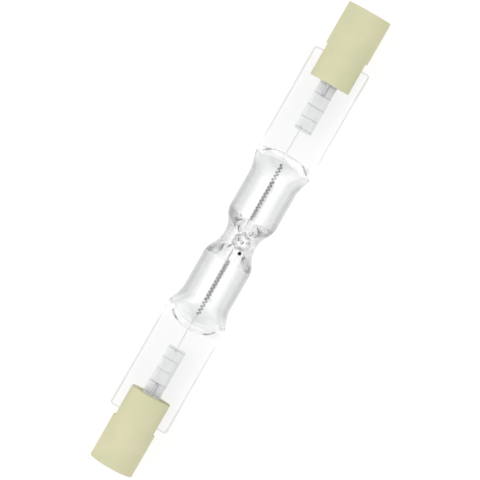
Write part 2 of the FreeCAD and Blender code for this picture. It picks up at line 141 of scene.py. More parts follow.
# Foils, with waves along their edges as (share of the width, radians in a millimetre, start)
FOIL_START = FOIL_LOW[0]
FOIL_END = FOIL_HIGH[0]
FOIL_HALF_WIDTH = FOIL_HIGH[1]
FOIL_HALF_THICKNESS = 0.04
FOIL_FEATHER_SHARE = 0.3
FOIL_EDGE_SHARE = 0.05
FOIL_WAVES = ((0.012, 5.1, 0), (0.008, 13.7, 1))
FOIL_STATIONS = 40
FOIL_POINTS_ACROSS = 13
FOLD_STATIONS = (19.1, 20.85, 22.8, 24.9, 26.7)
FOLD_HEIGHT = 0.14
FOLD_HALF_WIDTH = 0.14
PANEL_TILT = 0.035

# Leads, with the stations that only hold their straight stretches
INNER_LEAD_RADIUS = 0.06
INNER_LEAD_PLUG = 1.0
INNER_LEAD_STRAIGHT = 0.15
INNER_LEAD_BEND = 1.0
INNER_LEAD_OFFSET = {"right": 0.44, "left": -0.1}
INNER_LEAD_STATIONS = (16.0, 17.5)
INNER_WELD_END = INNER_LEAD_HIGH[0]
INNER_WELD_HEIGHT_SHARE = 0.7
OUTER_LEAD_RADIUS = OUTER_LEAD_HIGH[2]
OUTER_LEAD_TIP_RADIUS = 0.24
OUTER_LEAD_TAPER = 0.15
OUTER_LEAD_ON_FOIL = (26, 27.5)
OUTER_LEAD_OFF_FOIL = (29.4, 31)
OUTER_WELD_START = OUTER_LEAD_LOW[0]

# Caps
CHEEK_END = CAP_LOW[0]
RIM = CAP_HIGH[0]
CAP_RADIUS = CAP_HIGH[1]
SLOT_FLOOR = CEMENT_HIGH[0]
HALF_SLOT = CEMENT_HIGH[2]
SLOT_TOOL_MARGIN = 1
RECESS_RADIUS = 2.1
CAP_EDGE = 0.09
CAP_EDGE_ANGLE = math.radians(35)

# Contacts, with the rounding of the button's rim as (depth below the face, distance from the rim)
CONTACT_FACE = CONTACT_HIGH[0]
BUTTON_RADIUS = CONTACT_HIGH[1]
BUTTON_THICKNESS = 0.5
BUTTON_CHAMFER = 0.04
BUTTON_ROUNDING = ((0.15, 0), (0.09, 0.02), (0.02, 0.09), (0, 0.15))
DIMPLE_RADIUS = 0.3
DIMPLE_FLOOR_RADIUS = 0.12
DIMPLE_DEPTH = 0.03
SHANK_RADIUS = 0.7
SHANK_END = CONTACT_LOW[0]
SHANK_CHAMFER = 0.08
SHANK_ROOT = 0.02
CONTACT_CLEARANCE = 0.05
POCKET_FLOOR = CONTACT_FACE - BUTTON_THICKNESS
POCKET_RADIUS = BUTTON_RADIUS + CONTACT_CLEARANCE
SHANK_HOLE_RADIUS = SHANK_RADIUS + CONTACT_CLEARANCE

# Painted shade: the glass's colour darkens by how aslant it is seen, from 0 facing the viewer to 1 edge on,
# for grey bands at its sides and edges
CLEAR_EDGE_PAINTED_SHADE = ((0.0, (1.0, 1.0, 1.0)), (0.6, (0.98, 0.985, 0.985)), (1.0, (0.85, 0.86, 0.86)))
PINCH_EDGE_PAINTED_SHADE = (
    (0.0, (1.0, 1.0, 1.0)), (0.04, (0.98, 0.98, 0.99)), (0.12, (0.75, 0.75, 0.77)), (1.0, (0.6, 0.6, 0.63)),
)
COATED_EDGE_PAINTED_SHADE = (
    (0.0, (1.0, 1.0, 1.0)), (0.17, (0.99, 0.99, 0.99)), (0.24, (0.86, 0.87, 0.87)), (0.35, (0.4, 0.41, 0.41)),
    (0.5, (0.24, 0.25, 0.25)), (1.0, (0.14, 0.15, 0.15)),
)
# Share of each painted shade along the lamp, by millimetres from the middle
COATED_PAINTED_SHADE_ALONG = ((0.0, 0.75), (2.2, 0.9), (4.4, 1.0), (11.0, 1.0), (13.4, 0.15), (16.0, 0.15))
PINCH_PAINTED_SHADE_ALONG = ((0.0, 0.0), (14.6, 0.0), (16.5, 1.0), (31.0, 1.0))
EVEN_ALONG = ((0.0, 1.0), (31.0, 1.0))
FILM_IOR = 2.2

# Sockets of a colour mix node, by number because their names repeat
MIX_SHARE = 0
MIX_FIRST = 6
MIX_SECOND = 7
MIX_RESULT = 2

# Camera, from the size and slant of the lamp in a 480-pixel picture
PICTURE_SIZE = 480
FOCAL_PIXELS = 3109
CAMERA_DISTANCE = 466
CAMERA_TILT = math.radians(3)
LAMP_SLANT = math.radians(60.2)
SENSOR_WIDTH = 36
FLOOR_HEIGHT = -CHAMBER_RADIUS
FLOOR_SIZE = 6000
BOUNCES = 32

# Brightness of the surround by height, from the horizon at 0 to straight overhead at 1
SURROUND = ((0.0, 0.3), (0.2, 0.35), (0.62, 1.0), (0.84, 1.0), (0.95, 0.34), (1.0, 0.2))


def side_sign(side):
    """Which way the lamp's right-hand or left-hand half points along X."""
    return 1 if side == "right" else -1


def make_piece(name, vertices, faces, material, smooth=True):
    """A mesh object from millimetre vertices."""
    mesh = bpy.data.meshes.new(name)
    mesh.from_pydata((np.asarray(vertices) * MM).tolist(), [], faces)
    mesh.validate()
    mesh.update()
    mesh.materials.append(material)
    mesh.polygons.foreach_set("use_smooth", [smooth] * len(mesh.polygons))
    piece = bpy.data.objects.new(name, mesh)
    bpy.context.scene.collection.objects.link(piece)
    return piece


def hand_over(piece, node):
    """The piece rides on the body and stands for its CAD node."""
    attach(piece, "root")
    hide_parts(node)


def turn_to_side(vertices, side):
    """Left-hand pieces are the right-hand ones turned half round about Z."""
    vertices = np.asarray(vertices, dtype=float)
    if side == "left":
        vertices = vertices * (-1, -1, 1)
    return vertices


def skin(rows, inward=False):
    """Vertices and faces of a closed skin through rings of points, each end closed to its middle."""
    rows = np.asarray(rows)
    count, around = rows.shape[:2]
    vertices = rows.reshape(-1, 3).tolist()
    faces = []
    for row in range(count - 1):
        for column in range(around):
            following = (column + 1) % around
            low = row * around
            high = low + around
            faces.append((low + column, low + following, high + following, high + column))
    for row, flip in ((0, True), (count - 1, False)):
        middle = len(vertices)
        vertices.append(rows[row].mean(axis=0).tolist())
        base = row * around
        for column in range(around):
            following = (column + 1) % around
            corner = (base + column, base + following, middle)
            faces.append(corner[::-1] if flip else corner)
    if inward:
        faces = [face[::-1] for face in faces]
    return vertices, faces


def join_shells(*shells):
    """One vertex and face list from several."""
    vertices = []
    faces = []
    for shell_vertices, shell_faces in shells:
        shift = len(vertices)
        vertices += list(shell_vertices)
        faces += [tuple(index + shift for index in face) for face in shell_faces]
    return vertices, faces


def unit(vectors):
    """The same directions at length one."""
    return vectors / np.linalg.norm(vectors, axis=-1, keepdims=True)


def share_along(reach, start, length):
    """How much of a stretch lies behind reach: 0 before its start and 1 past its end."""
    return np.clip((reach - start) / length, 0, 1)


def ease(share):
    """A rise from 0 to 1 that is level at both ends."""
    return (1 - np.cos(math.pi * share)) / 2


def by_side(x, sizes):
    """The right-hand or left-hand size, by the sign of x."""
    return np.where(x > 0, sizes["right"], sizes["left"])


def waisted_radius(x):
    """The outside radius of the round glass: chamber, shoulder arc, neck arc and straight waist."""
    reach = np.abs(x)
    drop = CHAMBER_RADIUS - WAIST_RADIUS
    run = SHOULDER_START - WAIST_HALF_FLAT
    both_radii = (run * run + drop * drop) / (2 * drop)
    shoulder = both_radii - WAIST_CURVE
    neck_end = WAIST_HALF_FLAT + WAIST_CURVE * run / both_radii
    from_flat = np.clip(reach - WAIST_HALF_FLAT, 0, WAIST_CURVE)
    from_chamber = np.clip(SHOULDER_START - reach, 0, shoulder)
    neck_arc = WAIST_RADIUS + WAIST_CURVE - np.sqrt(WAIST_CURVE ** 2 - from_flat ** 2)
    shoulder_arc = CHAMBER_RADIUS - shoulder + np.sqrt(shoulder ** 2 - from_chamber ** 2)
    return np.where(reach < neck_end, neck_arc, shoulder_arc)


def flare_half_sizes(x):
    """Half width and half height of the glass where it goes from round to flat."""
    reach = np.abs(x)
    radius = waisted_radius(x)
    widened = ease(share_along(reach, CHAMBER_HALF_LENGTH, FLARE_SPREAD))
    half_width = radius + (by_side(x, PINCH_HALF_WIDTH) - CHAMBER_RADIUS) * widened
    length = by_side(x, FLARE_END) - CHAMBER_HALF_LENGTH
    flattened = share_along(reach, CHAMBER_HALF_LENGTH, length) ** FLARE_BULGE
    half_height = radius - (CHAMBER_RADIUS - FLARE_END_HALF_HEIGHT) * flattened
    return half_width, half_height


def smooth_union(first, second, fillet):
    """The union of two distance fields, with the groove between them filled to a fillet."""
    share = np.clip(0.5 + 0.5 * (second - first) / fillet, 0, 1)
    return second + (first - second) * share - fillet * share * (1 - share)


def rounded_both(first, second, radius):
    """Where both distance fields are inside, with the edge between them rounded."""
    first = first + radius
    second = second + radius
    outside = np.hypot(np.maximum(first, 0), np.maximum(second, 0))
    return outside + np.minimum(np.maximum(first, second), 0) - radius


def oval_field(y, z, half_width, half_height):
    """Distance field of an oval bar along the lamp's axis."""
    return (np.hypot(y / half_width, z / half_height) - 1) * np.minimum(half_width, half_height)


def pinch_field(x, y, z):
    """Distance field of the two flat pinches, with their edges and corners rounded."""
    reach = np.abs(x)
    length_ends = np.maximum(reach - PINCH_END, PINCH_START - reach)
    plan = rounded_both(np.abs(y) - by_side(x, PINCH_HALF_WIDTH), length_ends, PINCH_CORNER_RADIUS)
    return rounded_both(plan, np.abs(z) - PINCH_HALF_THICKNESS, PINCH_SIDE_RADIUS)


def tip_field(x, y, z):
    """Distance field of the exhaust tip, a dome with an uneven foot, on the upper side only."""
    height = (z - TIP_CENTRE_HEIGHT) / (TIP_TOP - TIP_CENTRE_HEIGHT)
    turn = np.arctan2(y - TIP_SHIFT, x)
    uneven = 1 + sum(share * np.sin(waves * turn + start) for waves, share, start in TIP_WAVES)
    spread = np.hypot(x, y - TIP_SHIFT) / (TIP_RADIUS * uneven)
    return np.where(z > 0, (np.hypot(spread, height) - 1) * TIP_RADIUS, TIP_TOP)


def glass_outside(x, y, z):
    """Distance field of the whole envelope: below zero in the glass or the hollow."""
    half_width, half_height = flare_half_sizes(x)
    # The burner's own field ends with the flare, so that the pinches keep their edges
    past_flare = np.maximum(np.abs(x) - by_side(x, FLARE_END), 0)
    burner = oval_field(y, z, half_width, half_height) + past_flare
    glass = smooth_union(burner, pinch_field(x, y, z), FLARE_FILLET)
    glass = np.maximum(glass, np.abs(y) - half_width)
    return smooth_union(glass, tip_field(x, y, z), TIP_FILLET)


def cavity_half_sizes(x):
    """Half width and half height of the gas space: bore, conical neck, chamber and flattened end."""
    reach = np.abs(x)
    end = by_side(x, FLARE_END)
    climb = share_along(reach, BORE_HALF_LENGTH, CAVITY_NECK_END - BORE_HALF_LENGTH)
    opened = 1 - (1 - climb ** CAVITY_NECK_RISE) ** CAVITY_NECK_BULGE
    radius = BORE_RADIUS + (CAVITY_RADIUS - BORE_RADIUS) * opened
    widened = ease(share_along(reach, CHAMBER_HALF_LENGTH, CAVITY_WIDEST - CHAMBER_HALF_LENGTH))
    half_width = radius + (CAVITY_HALF_WIDTH - CAVITY_RADIUS) * widened
    closing = share_along(reach, CAVITY_WIDEST, end - CAVITY_WIDEST)
    half_width = half_width * np.sqrt(1 - closing ** 2)
    _, outer_half_height = flare_half_sizes(x)
    half_height = radius - waisted_radius(x) + outer_half_height
    rounding = np.clip((reach - end) / CAVITY_ROUND_END + 1, 0, 1)
    half_height = half_height * np.sqrt(1 - rounding ** 2)
    return np.maximum(half_width, CAVITY_LEAST_HALF_SIZE), np.maximum(half_height, CAVITY_LEAST_HALF_SIZE)


def gas_space(x, y, z):
    """Distance field of the hollow, with the duct that rises into the exhaust tip."""
    hollow = oval_field(y, z, *cavity_half_sizes(x))
    duct_height = z / DUCT_TOP
    duct_lean = y - TIP_SHIFT * np.clip(duct_height, 0, 1)
    duct = (np.hypot(np.hypot(x, duct_lean) / DUCT_RADIUS, duct_height ** 2) - 1) * DUCT_RADIUS
    duct = np.where(z > 0, duct, DUCT_TOP)
    return smooth_union(hollow, duct, DUCT_FILLET)


def cast_rings(field, half_sizes, stations, around):
    """Rings of points on a distance field's surface, found outward from the lamp's axis."""
    x = np.repeat(np.asarray(stations)[:, None], around, axis=1)
    turn = np.linspace(0, 2 * math.pi, around, endpoint=False)[None, :]
    half_width, half_height = half_sizes(x)
    across = half_width * np.cos(turn)
    up = half_height * np.sin(turn)
    length = np.hypot(across, up)
    across = across / length
    up = up / length
    near = np.zeros_like(x)
    far = np.full_like(x, SEARCH_REACH)
    for _ in range(SEARCH_STEPS):
        middle = (near + far) / 2
        inside = field(x, across * middle, up * middle) < 0
        near = np.where(inside, middle, near)
        far = np.where(inside, far, middle)
    return np.stack([x, across * near, up * near], axis=2)


def outside_half_sizes(x):
    """The envelope's half width and half height, used only to space the points of a ring."""
    half_width, half_height = flare_half_sizes(x)
    return half_width, np.maximum(half_height, PINCH_HALF_THICKNESS)


def outer_stations():
    """Distances from the middle of the outer skin's rings, close on the tip, the flare and the end."""
    round_start = PINCH_END - PINCH_CORNER_RADIUS
    round_end = round_start + PINCH_CORNER_RADIUS * np.sin(np.linspace(0, math.pi / 2, 12))
    # The last ring stays just inside the flat end, where its points can still be found
    round_end[-1] -= 1e-4
    return np.concatenate([
        np.arange(0.03, TIP_REACH, 0.07),
        np.linspace(TIP_REACH, SHOULDER_START, 12, endpoint=False),
        np.linspace(SHOULDER_START, CHAMBER_HALF_LENGTH, 8, endpoint=False),
        np.linspace(CHAMBER_HALF_LENGTH, FLARE_REACH, 52, endpoint=False),
        np.linspace(FLARE_REACH, round_start, 16, endpoint=False),
        round_end,
    ])


def cavity_stations(side):
    """Distances from the middle of the gas space's rings on one side, close on the neck and the end."""
    closing_turn = np.linspace(0, math.pi / 2, 26)[1:-1]
    return np.concatenate([
        np.arange(0.02, CAVITY_NECK_END, 0.06),
        np.linspace(CAVITY_NECK_END, CHAMBER_HALF_LENGTH, 7)[1:-1],
        np.linspace(CHAMBER_HALF_LENGTH, CAVITY_WIDEST, 20),
        CAVITY_WIDEST + (FLARE_END[side] - CAVITY_WIDEST) * np.sin(closing_turn),
    ])


def end_to_end(left, right):
    """Stations from the lamp's left end to its right end, from each half's distances."""
    return np.concatenate([-left[::-1], right])


def build_glass():
    """The envelope's outer skin and its gas space as one closed mesh."""
    outer_half = outer_stations()
    outer_along = end_to_end(outer_half, outer_half)
    outer = cast_rings(glass_outside, outside_half_sizes, outer_along, OUTER_POINTS)
    hollow_along = end_to_end(cavity_stations("left"), cavity_stations("right"))
    hollow = cast_rings(gas_space, cavity_half_sizes, hollow_along, CAVITY_POINTS)
    return join_shells(skin(outer), skin(hollow, inward=True))


def dress_glass(glass, coated, pinched, pressed):
    """The film round the chambers, the bare pinches and the gas space's pressed ends; the rest is clear. Each
    of these glass materials has painted shade where the glass is seen aslant, darkest on the film and the
    pinches.
    """
    for material in (coated, pinched, pressed):
        glass.data.materials.append(material)
    centres = np.empty(len(glass.data.polygons) * 3)
    glass.data.polygons.foreach_get("center", centres)
    x, y, z = centres.reshape(-1, 3).T / MM
    reach = np.abs(x)
    flare_end = by_side(x, FLARE_END)
    half_width, half_height = flare_half_sizes(x)
    outer = np.hypot(y / half_width, z / half_height) > OUTER_SKIN_SHARE
    before_crease = np.abs(z) > PINCH_HALF_THICKNESS + CREASE_MARGIN
    film = outer & (reach < flare_end) & (before_crease | (reach < FILM_ALL_ROUND))
    pressed_end = reach > flare_end - PRESSED_LENGTH
    # Slot 0 is the clear glass that the piece was made with
    slots = np.select([film, outer, pressed_end], [1, 2, 3])
    glass.data.polygons.foreach_set("material_index", slots.astype(np.int32))


def tube(path, radius, sides):
    """Rings of a round wire along a path of points; radius may be one number or one for each point."""
    path = np.asarray(path, dtype=float)
    radius = np.broadcast_to(radius, len(path))
    along = unit(np.gradient(path, axis=0))
    turn = np.linspace(0, 2 * math.pi, sides, endpoint=False)
    side_way = np.cross(along[0], (0.0, 0.0, 1.0))
    rings = []
    for point, heading, size in zip(path, along, radius):
        side_way = unit(side_way - heading * np.dot(side_way, heading))
        up_way = np.cross(heading, side_way)
        rings.append(point + size * (np.cos(turn)[:, None] * side_way + np.sin(turn)[:, None] * up_way))
    return np.array(rings)


def build_bead():
    """The small dark bead that sits on the neck glass beside the tip."""
    from_pole = np.linspace(0, math.pi, 11)[1:-1, None]
    around = np.linspace(0, 2 * math.pi, 20, endpoint=False)[None, :]
    ball = np.stack(np.broadcast_arrays(
        np.cos(from_pole), np.sin(from_pole) * np.cos(around), -np.sin(from_pole) * np.sin(around)
    ), axis=2)
    return skin(np.array(BEAD_CENTRE) + BEAD_RADIUS * ball)


def coil_point(turns, side):
    """A point on one coil's centre line, at that many turns from its inner end."""
    angle = 2 * math.pi * turns
    sign = side_sign(side)
    return np.stack([
        sign * (COIL_START + COIL_PITCH * turns),
        COIL_RADIUS * np.cos(angle),
        sign * COIL_RADIUS * np.sin(angle),
    ], axis=-1)


def coil_shift(side):
    """How far one coil lies off the lamp's axis."""
    return np.array((0, COIL_SHIFT[side], 0))


def build_coil(side):
    """One coiled coil: fine wire wound round a helix."""
    turns = COIL_LENGTH / COIL_PITCH
    steps = np.linspace(0, turns, int(turns * STEPS_PER_TURN))
    turn_length = math.hypot(2 * math.pi * COIL_RADIUS, COIL_PITCH)
    centre = coil_point(steps, side)
    along = unit(np.gradient(centre, axis=0))
    outward = unit(centre * (0, 1, 1))
    across = np.cross(along, outward)
    angle = 2 * math.pi * steps * turn_length / PRIMARY_PITCH
    winding = np.cos(angle)[:, None] * outward + np.sin(angle)[:, None] * across
    return skin(tube(centre + coil_shift(side) + PRIMARY_RADIUS * winding, WIRE_RADIUS, sides=4))


def build_filament():
    """A coiled coil in each chamber, joined by a plain leg through the waist."""
    start, end = [coil_point(0, side) + coil_shift(side) for side in SIDES]
    leg = [start + (end - start) * share for share in np.linspace(0, 1, 9)]
    coils = [build_coil(side) for side in SIDES]
    return join_shells(*coils, skin(tube(leg, PRIMARY_RADIUS, sides=10)))


def build_inner_lead(side):
    """The thin wire from inside the coil's end, with its small bend, to its weld on the foil."""
    coil_end = COIL_START + COIL_LENGTH
    start = side_sign(side) * COIL_SHIFT[side]
    offset = INNER_LEAD_OFFSET[side]
    bend_start = coil_end + INNER_LEAD_STRAIGHT
    path = [(coil_end - INNER_LEAD_PLUG, start, 0)]
    for share in np.linspace(0, 1, 15):
        path.append((bend_start + INNER_LEAD_BEND * share, start + (offset - start) * ease(share), 0))
    path += [(x, offset, 0) for x in (*INNER_LEAD_STATIONS, FOIL_START, INNER_WELD_END)]
    rings = tube(path, INNER_LEAD_RADIUS, sides=14)
    flattened = rings[-2:, :, 2] * INNER_WELD_HEIGHT_SHARE
    rings[-2:, :, 2] = np.maximum(flattened, -FOIL_HALF_THICKNESS)
    return skin(rings)


def fold_height(x):
    """How far the foil's middle surface stands off the flat at x: tilted panels and sharp folds."""
    stations = (FOIL_START,) + FOLD_STATIONS + (FOIL_END,)
    height = np.zeros_like(x)
    for panel, (start, end) in enumerate(zip(stations, stations[1:])):
        tilt = PANEL_TILT * (1 if panel % 2 else -1)
        share = share_along(x, start, end - start)
        height = height + np.where((x >= start) & (x < end), tilt * (share - 0.5), 0)
    for station in FOLD_STATIONS:
        height = height - FOLD_HEIGHT * np.clip(1 - np.abs(x - station) / FOLD_HALF_WIDTH, 0, 1)
    return height


def foil_stations():
    """Even stations along the foil, with more of them on each fold."""
    even = np.round(np.linspace(FOIL_START, FOIL_END, FOIL_STATIONS), 4)
    on_fold = np.array([-1, -0.5, 0, 0.5, 1]) * FOLD_HALF_WIDTH
    folds = {round(station + shift, 4) for station in FOLD_STATIONS for shift in on_fold}
    return sorted(set(even) | folds)


def build_foil():
    """A molybdenum ribbon with feathered edges, folded across where the press gripped it."""
    top = np.linspace(-1, 1, FOIL_POINTS_ACROSS)
    bottom = top[-2:0:-1]
    width_way = np.concatenate([top, bottom])
    face = np.concatenate([np.ones_like(top), -np.ones_like(bottom)])
    feather = np.clip((1 - np.abs(width_way)) / FOIL_FEATHER_SHARE, FOIL_EDGE_SHARE, 1)
    rings = []
    for x in foil_stations():
        uneven = 1 + sum(share * math.sin(waves * x + start) for share, waves, start in FOIL_WAVES)
        across = -FOIL_HALF_WIDTH * width_way * uneven
        up = fold_height(np.array(x)) + FOIL_HALF_THICKNESS * feather * face
        rings.append(np.stack([np.full_like(across, x), across, up], axis=1))
    return skin(rings)


def build_outer_lead():
    """The thick wire from its weld on the foil out to the contact, flat where it lies on the foil."""
    stations = [
        OUTER_WELD_START, OUTER_WELD_START + OUTER_LEAD_TAPER, *OUTER_LEAD_ON_FOIL, FOIL_END,
        *OUTER_LEAD_OFF_FOIL, SHANK_END,
    ]
    radii = [OUTER_LEAD_TIP_RADIUS] + [OUTER_LEAD_RADIUS] * (len(stations) - 1)
    rings = tube([(x, 0, 0) for x in stations], radii, sides=28)
    for ring, x in zip(rings, stations):
        if x <= FOIL_END:
            ring[:, 2] = np.maximum(ring[:, 2], FOIL_HALF_THICKNESS)
    return skin(rings)


def lathe(profile, around):
    """Rings of a solid turned about the lamp's axis through (x, radius) pairs."""
    turn = np.linspace(0, 2 * math.pi, around, endpoint=False)
    return np.array([
        np.stack([np.full(around, x), radius * np.cos(turn), radius * np.sin(turn)], axis=1)
        for x, radius in profile
    ])


def build_ring(profile, around):
    """A solid turned about the lamp's axis whose closed profile stays clear of the axis."""
    rings = lathe(profile, around)
    vertices = rings.reshape(-1, 3).tolist()
    count = len(profile)
    faces = []
    for row in range(count):
        low = row * around
        high = (row + 1) % count * around
        for column in range(around):
            following = (column + 1) % around
            faces.append((low + column, low + following, high + following, high + column))
    return vertices, faces


def build_box(low, high):
    """A box between its lowest and highest corner."""
    corners = [(x, y, z) for x in (low[0], high[0]) for y in (low[1], high[1]) for z in (low[2], high[2])]
    faces = [(0, 1, 3, 2), (4, 6, 7, 5), (0, 4, 5, 1), (2, 3, 7, 6), (0, 2, 6, 4), (1, 5, 7, 3)]
    return corners, faces


def apply_modifiers(piece):
    """Replace the piece's mesh by what its modifiers make of it."""
    depsgraph = bpy.context.evaluated_depsgraph_get()
    mesh = bpy.data.meshes.new_from_object(piece.evaluated_get(depsgraph))
    piece.modifiers.clear()
    piece.data = mesh


def cut_away(piece, tool):
    """Take the tool's shape out of the piece, and the tool out of the scene."""
    cut = piece.modifiers.new("cut", "BOOLEAN")
    cut.object = tool
    cut.operation = "DIFFERENCE"
    cut.solver = "EXACT"
    apply_modifiers(piece)
    bpy.data.objects.remove(tool)


def soften_edges(piece, width):
    """Round the sharp edges a little and keep the flats flat in the shading."""
    bevel = piece.modifiers.new("edges", "BEVEL")
    bevel.width = width * MM
    bevel.segments = 3
    bevel.limit_method = "ANGLE"
    bevel.angle_limit = CAP_EDGE_ANGLE
    bevel.harden_normals = True
    apply_modifiers(piece)


def make_cap(side, material):
    """The ceramic barrel with its slot for the pinch and its contact recess."""
    profile = [
        (CHEEK_END, SHANK_HOLE_RADIUS),
        (POCKET_FLOOR, SHANK_HOLE_RADIUS),
        (POCKET_FLOOR, POCKET_RADIUS),
        (CONTACT_FACE, POCKET_RADIUS),
        (CONTACT_FACE, RECESS_RADIUS),
        (RIM, RECESS_RADIUS),
        (RIM, CAP_RADIUS),
        (CHEEK_END, CAP_RADIUS),
    ]
    vertices, faces = build_ring(profile, around=128)
    cap = make_piece(f"cap_body_{side}", turn_to_side(vertices, side), faces, material)
    half_width = CAP_RADIUS + SLOT_TOOL_MARGIN
    vertices, faces = build_box(
        (CHEEK_END - SLOT_TOOL_MARGIN, -half_width, -HALF_SLOT), (SLOT_FLOOR, half_width, HALF_SLOT)
    )
    tool = make_piece("slot_tool", turn_to_side(vertices, side), faces, material)
    cut_away(cap, tool)
    soften_edges(cap, CAP_EDGE)
    hand_over(cap, f"cap_{side}")


def make_contact(side, material):
    """The nickel rivet contact: a chamfered shank and a button with a round rim and a small dimple."""
    profile = [
        (SHANK_END, SHANK_RADIUS - SHANK_CHAMFER),
        (SHANK_END + SHANK_CHAMFER, SHANK_RADIUS),
        (POCKET_FLOOR - SHANK_ROOT, SHANK_RADIUS),
        (POCKET_FLOOR, SHANK_RADIUS + SHANK_ROOT),
        (POCKET_FLOOR, BUTTON_RADIUS - BUTTON_CHAMFER),
        (POCKET_FLOOR + BUTTON_CHAMFER, BUTTON_RADIUS),
        *[(CONTACT_FACE - depth, BUTTON_RADIUS - inset) for depth, inset in BUTTON_ROUNDING],
        (CONTACT_FACE, DIMPLE_RADIUS),
        (CONTACT_FACE - DIMPLE_DEPTH, DIMPLE_FLOOR_RADIUS),
    ]
    vertices, faces = skin(lathe(profile, around=72))
    contact = make_piece(f"contact_rivet_{side}", turn_to_side(vertices, side), faces, material)
    hand_over(contact, f"contact_{side}")


def new_material(name):
    """A node material: its tree and its main shader."""
    material = bpy.data.materials.new(name)
    material.use_nodes = True
    tree = material.node_tree
    return material, tree, tree.nodes["Principled BSDF"]


def set_sockets(shader, **values):
    """Set sockets by name, with underscores for the spaces."""
    for name, setting in values.items():
        shader.inputs[name.replace("_", " ")].default_value = setting


def object_coordinates(tree, stretch=(1, 1, 1)):
    """The place on the piece, scaled along each axis by stretch."""
    coordinates = tree.nodes.new("ShaderNodeTexCoord")
    mapping = tree.nodes.new("ShaderNodeMapping")
    mapping.inputs["Scale"].default_value = stretch
    tree.links.new(coordinates.outputs["Object"], mapping.inputs["Vector"])
    return mapping.outputs["Vector"]


def add_noise(tree, vector, grain_mm, detail=4.0, roughness=0.55):
    """Noise whose main grain is about that many millimetres."""
    noise = tree.nodes.new("ShaderNodeTexNoise")
    noise.inputs["Scale"].default_value = 1 / (grain_mm * MM)
    noise.inputs["Detail"].default_value = detail
    noise.inputs["Roughness"].default_value = roughness
    tree.links.new(vector, noise.inputs["Vector"])
    return noise.outputs["Fac"]


def add_ramp(tree, factor, stops):
    """A colour ramp through (position, colour) stops."""
    ramp = tree.nodes.new("ShaderNodeValToRGB")
    elements = ramp.color_ramp.elements
    for element, (position, colour) in zip(elements, (stops[0], stops[-1])):
        element.position = position
        element.color = (*colour, 1)
    for position, colour in stops[1:-1]:
        elements.new(position).color = (*colour, 1)
    tree.links.new(factor, ramp.inputs["Fac"])
    return ramp.outputs["Color"]


def add_range(tree, factor, low, high):
    """Stretch a 0 to 1 factor to run from low to high."""
    stretch = tree.nodes.new("ShaderNodeMapRange")
    stretch.inputs["To Min"].default_value = low
    stretch.inputs["To Max"].default_value = high
    tree.links.new(factor, stretch.inputs["Value"])
    return stretch.outputs["Result"]


def add_colour_mix(tree, blend_type):
    """A node that mixes two colours."""
    mix = tree.nodes.new("ShaderNodeMix")
    mix.data_type = "RGBA"
    mix.blend_type = blend_type
    return mix


def multiply_colours(tree, first, second):
    """The first colour tinted by the second."""
    mix = add_colour_mix(tree, "MULTIPLY")
    mix.inputs[MIX_SHARE].default_value = 1.0
    tree.links.new(first, mix.inputs[MIX_FIRST])
    tree.links.new(second, mix.inputs[MIX_SECOND])
    return mix.outputs[MIX_RESULT]


def add_math(tree, operation, factor):
    """A node that does one piece of arithmetic on a factor."""
    node = tree.nodes.new("ShaderNodeMath")
    node.operation = operation
    tree.links.new(factor, node.inputs[0])
    return node


def add_bump(tree, shader, height, distance_mm, strength=1.0):
    """Fine relief in the shader's surface, up to that many millimetres high."""
    bump = tree.nodes.new("ShaderNodeBump")
    bump.inputs["Strength"].default_value = strength
    bump.inputs["Distance"].default_value = distance_mm * MM
    tree.links.new(height, bump.inputs["Height"])
    tree.links.new(bump.outputs["Normal"], shader.inputs["Normal"])


def let_lamps_through(tree, shader):
    """Shadow rays pass the glass, so that its shadow stays faint."""
    clear = tree.nodes.new("ShaderNodeBsdfTransparent")
    clear.inputs["Color"].default_value = (0.96, 0.965, 0.965, 1)
    rays = tree.nodes.new("ShaderNodeLightPath")
    mix = tree.nodes.new("ShaderNodeMixShader")
    tree.links.new(rays.outputs["Is Shadow Ray"], mix.inputs["Fac"])
    tree.links.new(shader.outputs["BSDF"], mix.inputs[1])
    tree.links.new(clear.outputs["BSDF"], mix.inputs[2])
    tree.links.new(mix.outputs["Shader"], tree.nodes["Material Output"].inputs["Surface"])


def add_share_along(tree, stops):
    """A factor that follows (millimetres, share) stops along the lamp, the same on both halves."""
    parts = tree.nodes.new("ShaderNodeSeparateXYZ")
    tree.links.new(object_coordinates(tree), parts.inputs["Vector"])
    reach = add_math(tree, "ABSOLUTE", parts.outputs["X"])
    scaled = add_math(tree, "DIVIDE", reach.outputs["Value"])
    last_stop = stops[-1][0]
    scaled.inputs[1].default_value = last_stop * MM
    shares = [(stop / last_stop, (share,) * 3) for stop, share in stops]
    return add_ramp(tree, scaled.outputs["Value"], shares)


def make_quartz(name, painted_shade_stops, shade_along_stops, film=0.0, roughness=0.0):
    """Fused quartz, with painted shade where it is seen aslant; film is how much of the thin mirror coat it
    has.
    """
    material, tree, shader = new_material(name)
    set_sockets(shader, Transmission_Weight=1.0, IOR=1.46, Roughness=roughness)
    set_sockets(shader, Coat_Weight=film, Coat_IOR=FILM_IOR, Coat_Roughness=0.04)
    # Painted shade: the base colour darkens toward the edge-on parts, by a share that runs along the lamp
    aslant = tree.nodes.new("ShaderNodeLayerWeight")
    aslant.inputs["Blend"].default_value = 0.5
    edge = add_ramp(tree, aslant.outputs["Facing"], painted_shade_stops)
    painted_shade_mix = add_colour_mix(tree, "MIX")
    painted_shade_mix.inputs[MIX_FIRST].default_value = (1, 1, 1, 1)
    tree.links.new(add_share_along(tree, shade_along_stops), painted_shade_mix.inputs[MIX_SHARE])
    tree.links.new(edge, painted_shade_mix.inputs[MIX_SECOND])
    waves = add_noise(tree, object_coordinates(tree), 2.5, detail=2.0)
    tint = add_ramp(tree, waves, [(0.3, (0.985, 0.99, 0.99)), (0.7, (1.0, 1.0, 1.0))])
    tree.links.new(multiply_colours(tree, painted_shade_mix.outputs[MIX_RESULT], tint), shader.inputs["Base Color"])
    let_lamps_through(tree, shader)
    return material


